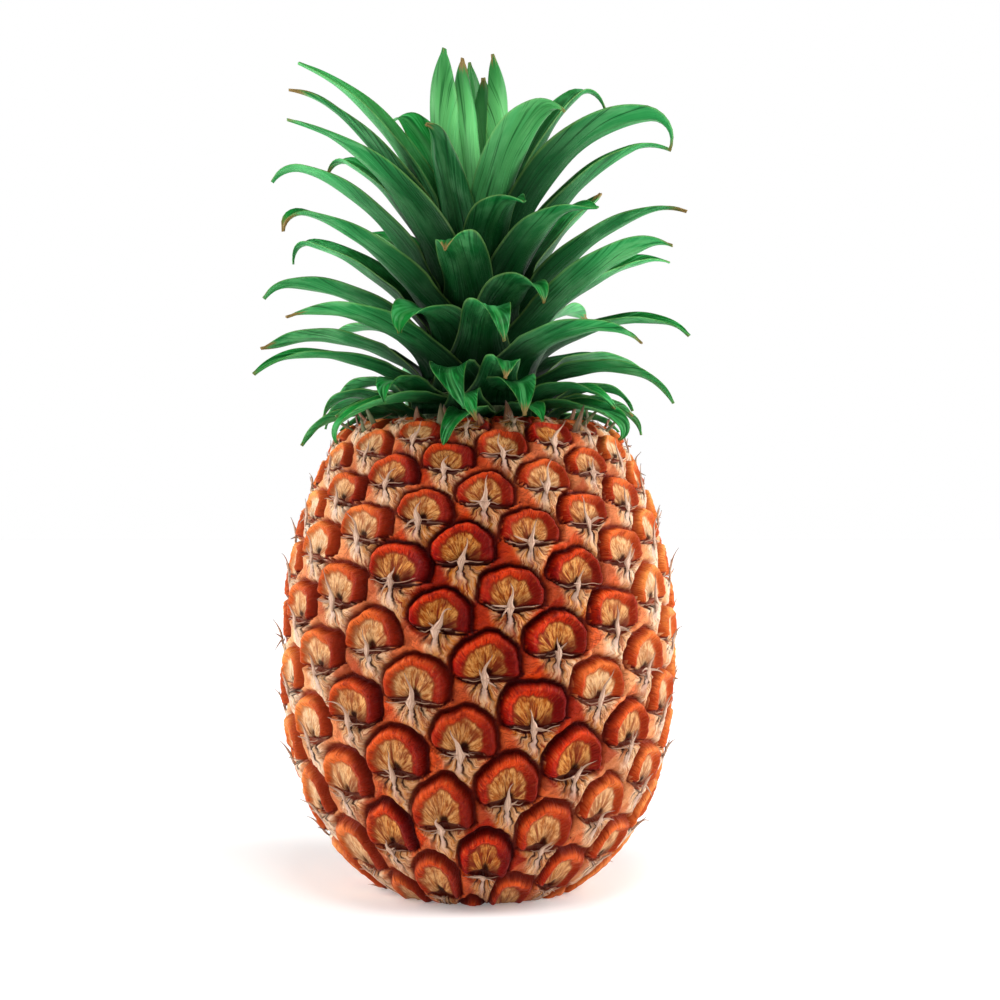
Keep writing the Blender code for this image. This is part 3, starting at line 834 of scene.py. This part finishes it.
def walk(place, steps, reach, heading, width):
    """The places and widths along a path that turns as its heading says."""
    path, widths = [], []
    for step in range(steps):
        share = step / (steps - 1)
        path.append(place.copy())
        widths.append(width(share))
        place = place + heading(share) * (reach / (steps - 1))
    return path, widths


def toward(up, around, out, bent, rising):
    """The direction bent from up towards around, and rising outward."""
    return (up * math.cos(bent) + around * math.sin(bent)) * math.cos(rising) + out * math.sin(rising)


def eye_frame(meridian, eye):
    """The foot of an eye's dried tip on the bare skin, and its around, up and out directions."""
    azimuth = (EYE_PHASE + eye * DIVERGENCE) % (2 * math.pi)
    length = float(meridian.length_of(eye, azimuth))
    radius, height = (float(x) for x in meridian.place(length))
    outward, upward = (float(x) for x in meridian.normal(length))
    around = Vector((-math.sin(azimuth), math.cos(azimuth), 0))
    out = Vector((math.cos(azimuth) * outward, math.sin(azimuth) * outward, upward))
    foot = Vector((radius * math.cos(azimuth), radius * math.sin(azimuth), height))
    return length, max(radius / FRUIT_RADIUS, 0.5), foot, around, out.cross(around), out


def add_tip(strands, draws, foot, size, around, up, out, own):
    """One dried tip: a flared foot on the bract that narrows to a thread standing off the skin."""
    reach = draws.uniform(5.0, 10.5) * MM * size
    slant, curl = math.radians(draws.gauss(0, 15)), math.radians(draws.gauss(0, 38))
    lift = math.radians(draws.uniform(14, 34))
    flare = draws.uniform(0.6, 1.2)
    wave, phase = math.radians(draws.uniform(8, 26)), draws.uniform(0, 6)

    def heading(share):
        bent = slant + curl * share + wave * math.sin(phase + 7 * share)
        return toward(up, around, out, bent, lift * (0.3 + 1.1 * share))

    def width(share):
        ragged = 1 + 0.22 * math.sin(phase * 3 + 15 * share)
        return (flare * ragged * (1 - share) ** 3 + 0.34 * (1 - share) + 0.08) * MM * size

    path, widths = walk(foot - up * 0.5 * MM * size + out * 0.3 * MM, 14, reach, heading, width)
    path[:0] = [foot - up * 3.4 * MM * size - out * 0.35 * MM, foot - up * 1.9 * MM * size + out * 0.1 * MM]
    widths[:0] = [0.25 * MM * size, 0.75 * flare * MM * size]
    strands.add(path, widths, 0.40 * MM * size, out, own)


def add_thread(strands, draws, foot, size, around, up, out, own):
    """A loose dried thread beside the tip's foot."""
    reach = draws.uniform(2.0, 5.5) * MM * size
    bent = math.radians(draws.choice((-1, 1)) * draws.uniform(20, 130))
    curl = math.radians(draws.uniform(-70, 70))
    rising = math.radians(draws.uniform(5, 30))
    place = foot + around * draws.uniform(-1.0, 1.0) * MM * size + out * 0.2 * MM
    path, widths = walk(
        place,
        8,
        reach,
        lambda share: toward(up, around, out, bent + curl * share, rising),
        lambda share: (0.34 * (1 - share) + 0.09) * MM * size,
    )
    strands.add(path, widths, 0.22 * MM * size, out, own)


def add_lip(strands, draws, foot, size, side, up, out, own, sign, phase_of_crease):
    """The bract's papery edge, from the tip's foot out along the crease."""
    reach = draws.uniform(3.0, 8.2) * MM * size
    curl, wave, phase = draws.uniform(-0.2, 0.5), draws.uniform(0.1, 0.32), draws.uniform(0, 6)
    path, widths = [], []
    for step in range(10):
        share = step / 9
        run = (0.4 + share * reach / MM) * MM
        bend = float(crease_bend(sign * (run / MM), phase_of_crease)) - 0.1
        rise = bend * MM * size + (curl * share**2 + wave * share * math.sin(phase + 9 * share)) * MM
        path.append(foot + side * run + up * (rise - 0.25 * MM) + out * (0.40 - 0.85 * share) * MM)
        widths.append((0.36 * (1 - share) + 0.08) * MM * size)
    strands.add(path, widths, 0.12 * MM, up, own + 1)


def make_tips(material, traits, meridian):
    draws = random.Random(SEED + 1)
    strands = Strands()
    for index, eye in enumerate(range(LOWEST_EYE, HIGHEST_EYE + 1)):
        length, size, base, around, up, out = eye_frame(meridian, eye)
        if not meridian.skin_start + 4 * MM < length < meridian.seat_end - 10 * MM:
            continue
        own, phase = traits["own"][index], traits["phase"][index]
        foot = base + out * (2.3 + traits["lift"][index]) * MM * size
        add_tip(strands, draws, foot, size, around, up, out, own)
        for _ in range(draws.choice((1, 2, 2, 3))):
            add_thread(strands, draws, foot, size, around, up, out, own)
        for sign in (-1, 1):
            add_lip(strands, draws, foot, size, around * sign, up, out, own, sign, phase)
    tips = new_mesh_object("dried_tips", strands.points, strands.faces, material)
    add_attribute(tips, "eye", "POINT", strands.marks)
    keep(tips, "fruit_skin")


# ---------------------------------------------------------------- stalk and crown stem
def turned_mesh(name, outline, segments, material, wobble=None):
    """A closed turned piece from an outline of (radius, height) with its ends on the axis."""
    rings = outline[1:-1]
    points = [(0, 0, outline[0][1])]
    for radius, height in rings:
        for segment in range(segments):
            turn = segment * 2 * math.pi / segments
            size = radius * (1 + (wobble(turn, height) if wobble else 0))
            points.append((size * math.cos(turn), size * math.sin(turn), height))
    points.append((0, 0, outline[-1][1]))
    last = len(points) - 1
    faces = []
    for segment in range(segments):
        after = (segment + 1) % segments
        faces.append((0, 1 + segment, 1 + after))
        for ring in range(len(rings) - 1):
            a, b = 1 + ring * segments + segment, 1 + ring * segments + after
            faces.append((a, a + segments, b + segments, b))
        end = 1 + (len(rings) - 1) * segments
        faces.append((last, end + after, end + segment))
    return new_mesh_object(name, points, faces, material)


def make_stub():
    material = fibre_material("cut_stalk", (0.50, 0.36, 0.17), (0.19, 0.11, 0.045), 900, 0.8)
    low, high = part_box("stem_stub")
    outline = [(0, high.z)]
    outline += [(STALK_RADIUS - 0.4 * MM, high.z), (STALK_RADIUS, high.z - 0.6 * MM)]
    outline += [(STALK_RADIUS, mix(high.z, low.z, share)) for share in (0.3, 0.6, 0.9)]
    outline += [(STALK_RADIUS - 0.5 * MM, low.z), (STALK_RADIUS * 0.6, low.z + 0.25 * MM)]
    outline += [(STALK_RADIUS * 0.2, low.z + 0.1 * MM), (0, low.z + 0.3 * MM)]
    stub = turned_mesh(
        "stalk_stub", outline, 72, material, lambda turn, z: 0.02 * math.sin(9 * turn) - 0.02
    )
    keep(stub, "cut_stalk", "stem_stub")


def make_crown_stem():
    material = fibre_material("crown_stem", (0.30, 0.34, 0.16), (0.05, 0.09, 0.03), 500, 0.7)
    low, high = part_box("crown_stem")
    outline = [(0, high.z), (STEM_TIP_RADIUS, high.z)]
    outline += [
        (mix(STEM_TIP_RADIUS, STEM_RADIUS, share), mix(high.z, FRUIT_TOP, share))
        for share in np.linspace(0.1, 1, 12)
    ]
    outline += [(STEM_RADIUS, low.z), (0, low.z)]
    stem = turned_mesh("crown_core", outline, 64, material, lambda turn, z: 0.01 * math.sin(13 * turn) - 0.01)
    keep(stem, "crown_stem", "crown_stem")


# ---------------------------------------------------------------- leaves
def stem_radius(height):
    return mix(STEM_RADIUS, STEM_TIP_RADIUS, height / STEM_HEIGHT)


def leaf_design(rank, draws):
    """Sizes and angles of the leaf of this rank, by the CAD's rule."""
    last = ARCHING_LEAVES + UPRIGHT_LEAVES - 1
    share = min(rank / (ARCHING_LEAVES - 1), 1)
    inner = max(rank - ARCHING_LEAVES + 1, 0) / UPRIGHT_LEAVES
    low = min(share / LOW_CROWN, 1)
    if inner:
        length = mix(UPRIGHT_LENGTH, INNERMOST_LENGTH, inner)
        half_width = mix(LARGEST_HALF_WIDTH, INNERMOST_HALF_WIDTH, inner)
        lean = mix(UPRIGHT_LEAN, INNERMOST_LEAN, inner)
        tip_lean = mix(UPRIGHT_TIP_LEAN, INNERMOST_TIP_LEAN, inner)
    else:
        length = mix(LOWEST_LENGTH, LONGEST_LENGTH, share**LENGTH_GROWTH)
        half_width = mix(LOWEST_HALF_WIDTH, LARGEST_HALF_WIDTH, min(share / BROAD_FROM, 1))
        lean = max(LEAN_GAIN * math.sqrt(share) - LEAN_DROP, 0)
        tip_lean = min(LOW_TIP_LEAN + LOW_TIP_GAIN * share, HIGH_TIP_LEAN + HIGH_TIP_GAIN * share)
    height = mix(LOWEST_BASE, HIGHEST_BASE, (rank / last) ** BASE_SPACING)
    trait = TRAITS.get(rank, {})
    return {
        "rank": rank / last,
        "azimuth": LEAF_PHASE + rank * LEAF_DIVERGENCE,
        "height": FRUIT_TOP + height,
        "radius": stem_radius(height) + LEAF_STANDOFF,
        "length": length * trait.get("scale", draws.uniform(0.95, 1.05)),
        "half_width": half_width * trait.get("widen", 1),
        "lean": math.radians(lean + trait.get("lean", draws.uniform(-1.5, 1.5))),
        "tip_lean": math.radians(tip_lean + trait.get("tip", draws.uniform(-10, 10))),
        "sweep": math.radians(trait.get("sweep", draws.uniform(-6, 6))),
        "foot_bend": mix(LOWEST_FOOT_BEND, FOOT_BEND, low),
        "delay": mix(LOWEST_BEND_DELAY, BEND_DELAY, low),
        "taper": UPRIGHT_TAPER if inner else ARCHING_TAPER,
    }


def leaf_midrib(leaf, steps):
    """(radius, height, angle over the level) along the midrib, in the upright plane of the leaf."""
    radius, height = leaf["radius"], leaf["height"]
    places = []
    for step in range(steps + 1):
        along = step / steps
        clasped = max(1 - along * leaf["length"] / leaf["foot_bend"], 0) ** 2
        angle = mix(leaf["lean"], leaf["tip_lean"], along ** leaf["delay"])
        angle -= leaf["hook"] * max(along / HOOK_FROM - 1, 0)
        angle = mix(angle, max(CLASPED_ANGLE, angle), clasped)
        places.append((radius, height, angle))
        radius += math.cos(angle) * leaf["length"] / steps
        height += math.sin(angle) * leaf["length"] / steps
    return places


def leaf_half_width(leaf, along, radius):
    width = leaf["half_width"] * (1 - along ** leaf["taper"]) ** TIP_ROUNDNESS
    width *= 1 + BASE_SPREAD * max(1 - along / FOOT_SHARE, 0) ** 2
    return min(max(width, TIP_HALF_WIDTH), CLASP * radius)


def leaf_point(leaf, place, along, across, raised):
    """A point of the blade: across runs from -1 at one edge to 1 at the other, raised over its middle."""
    radius, height, angle = place
    width = leaf_half_width(leaf, along, radius)
    turn = leaf["azimuth"] + leaf["sweep"] * along**2 + across * width / radius
    channelled = min(along / FOOT_SHARE, 1) ** 2
    rise = CHANNEL_DEPTH * width / LARGEST_HALF_WIDTH * across**2 * channelled + raised
    rise += leaf["tilt"] * across * width * along**2
    radius -= rise * math.sin(angle)
    height += rise * math.cos(angle)
    bend = CROWN_BEND * ((height - FRUIT_TOP) / CROWN_HEIGHT) ** 2
    return (radius * math.cos(turn) + bend, radius * math.sin(turn), height)


def make_blade(name, leaf, material, looks):
    """A channelled blade, thick along its midrib and thin at its edges and tip."""
    places = leaf_midrib(leaf, LEAF_ROWS)
    tone, dry, wave = looks.uniform(0, 1), looks.choice((0.1, 0.2, 0.3, 0.55)), looks.uniform(0, 6.28)
    columns = LEAF_COLUMNS * 2 + 2
    points, blade, side = [], [], []
    for row in range(LEAF_ROWS + 1):
        along = row / LEAF_ROWS
        for index in range(columns):
            under = index > LEAF_COLUMNS
            across = (index if not under else columns - 1 - index) / LEAF_COLUMNS * 2 - 1
            half = LEAF_THICKNESS * mix(0.95, 0.35, along) * (1 - 0.75 * across**2)
            ripple = 0.16 * MM * math.sin(along * 21 + wave + across * 3) * min(along * 3, 1)
            ripple += 0.10 * MM * math.sin(across * 11 + wave)
            points.append(leaf_point(leaf, places[row], along, across, ripple + (-half if under else half)))
            blade.append((across, along, tone))
            side.append((leaf["rank"], float(under), dry))
    faces = []
    for row in range(LEAF_ROWS):
        for index in range(columns):
            after = (index + 1) % columns
            a, b = row * columns + index, row * columns + after
            faces.append((a, b, b + columns, a + columns))
    end = LEAF_ROWS * columns
    for index in range(LEAF_COLUMNS):
        mirror = columns - 1 - index
        faces.append((index, mirror, mirror - 1, index + 1))
        faces.append((end + index + 1, end + mirror - 1, end + mirror, end + index))
    made = new_mesh_object(name, points, faces, material)
    add_attribute(made, "blade", "POINT", blade)
    add_attribute(made, "side", "POINT", side)
    return made


def make_leaves(material):
    draws, looks = random.Random(SEED), random.Random(SEED + 2)
    for rank in range(ARCHING_LEAVES + UPRIGHT_LEAVES):
        node = f"leaf_{rank + 1:02d}"
        leaf = leaf_design(rank, draws)
        leaf["hook"] = math.radians(looks.choice(TIP_HOOKS)) * (rank < ARCHING_LEAVES)
        leaf["tilt"] = looks.uniform(-0.55, 0.55)
        blade = make_blade(f"blade_{rank + 1:02d}", leaf, material, looks)
        keep(blade, "leaf_blade", node)


def make_collar_leaves(material):
    """Short leaves that hang from the crown's foot over the fruit's shoulder."""
    draws = random.Random(SEED + 3)
    for index in range(COLLAR_LEAVES):
        share = index / (COLLAR_LEAVES - 1)
        leaf = {
            "rank": 0.0,
            "azimuth": COLLAR_PHASE + index * LEAF_DIVERGENCE,
            "height": FRUIT_TOP + mix(0.6, 7.0, share) * MM,
            "radius": STEM_RADIUS + mix(4.5, 1.2, share) * MM,
            "length": mix(22, 38, share) * draws.uniform(0.85, 1.15) * MM,
            "half_width": mix(4.2, 6.0, share) * MM,
            "lean": math.radians(draws.uniform(8, 24) + 14 * share),
            "tip_lean": math.radians(draws.uniform(-75, -45)),
            "sweep": math.radians(draws.uniform(-12, 12)),
            "foot_bend": 5 * MM,
            "delay": 2.2,
            "hook": 0.0,
            "tilt": draws.uniform(-0.3, 0.3),
            "taper": ARCHING_TAPER,
        }
        keep(make_blade(f"collar_leaf_{index + 1:02d}", leaf, material, draws), "leaf_blade")


def make_collar_bracts():
    """Small brown bracts that stand up round the fruit's shoulder."""
    draws = random.Random(SEED + 4)
    strands = Strands()
    for index in range(COLLAR_BRACTS):
        azimuth = index * LEAF_DIVERGENCE + draws.uniform(-0.2, 0.2)
        radius = mix(27, 40, (index / COLLAR_BRACTS) ** 0.7) * MM
        height = FRUIT_TOP + (1.2 - max(radius / MM - 33, 0) * 0.55) * MM
        outward = Vector((math.cos(azimuth), math.sin(azimuth), 0))
        around = Vector((-math.sin(azimuth), math.cos(azimuth), 0))
        reach, lean = draws.uniform(6, 11) * MM, math.radians(draws.uniform(35, 75))
        curl, slant = math.radians(draws.uniform(-15, 50)), draws.uniform(-0.35, 0.35)
        place = outward * radius + Vector((0, 0, height - 1.5 * MM))

        def heading(share):
            rising = lean + curl * share
            return outward * math.cos(rising) + Vector((0, 0, math.sin(rising))) + around * slant * share

        path, widths = walk(place, 9, reach, heading, lambda share: (1.9 * (1 - share**1.4) + 0.1) * MM)
        strands.add(path, widths, 0.35 * MM, outward, draws.uniform(0, 1))
    bracts = new_mesh_object("collar_bracts", strands.points, strands.faces, collar_material())
    add_attribute(bracts, "eye", "POINT", strands.marks)
    keep(bracts, "leaf_blade")


# ---------------------------------------------------------------- stage
def make_floor():
    corners = [(x * FLOOR_REACH, y * FLOOR_REACH, 0) for x, y in ((-1, -1), (1, -1), (1, 1), (-1, 1))]
    new_mesh_object("floor", corners, [(0, 1, 2, 3)], floor_material())


def make_light():
    """A pale studio all round at the horizon, dimmer overhead, with a soft box at each side and one above."""
    g = Graph("studio", world=True)
    _, y, z = g.split(g.node("ShaderNodeTexCoord").outputs["Generated"])
    overhead = g.ramp(z, 0.31, 0.48, SKY_OVERHEAD, 1.0)
    dimmer = g.ramp(y, -0.6, 0.3, 0.0, SKY_BEHIND_CAMERA - 1.0)
    behind = g.math("MULTIPLY_ADD", dimmer, g.ramp(z, 0.08, 0.20), 1.0)
    bpy.context.scene.world = g.finish(color=(1, 1, 1), strength=g.multiply(overhead, behind))
    for name, place, size, power in SOFT_BOXES:
        light = bpy.data.lights.new(name, "AREA")
        light.shape = "RECTANGLE"
        light.size, light.size_y = size
        light.energy = power
        obj = bpy.data.objects.new(name, light)
        obj.location = place
        obj.rotation_euler = (Vector(LIT_POINT) - Vector(place)).to_track_quat("-Z", "Y").to_euler()
        bpy.context.scene.collection.objects.link(obj)


def make_camera():
    camera = bpy.data.cameras.new("camera")
    camera.lens, camera.sensor_width = CAMERA_LENS, CAMERA_SENSOR
    obj = bpy.data.objects.new("camera", camera)
    obj.location = CAMERA_PLACE
    obj.rotation_euler = (math.radians(90), 0, 0)
    bpy.context.scene.collection.objects.link(obj)
    bpy.context.scene.camera = obj


def main():
    traits = eye_traits()
    meridian = make_fruit(skin_material(), traits)
    make_tips(tip_material(), traits, meridian)
    make_stub()
    make_crown_stem()
    blade_material = leaf_material()
    make_leaves(blade_material)
    make_collar_leaves(blade_material)
    make_collar_bracts()
    make_floor()
    make_light()
    make_camera()
    bpy.context.scene.view_settings.view_transform = "Standard"


main()
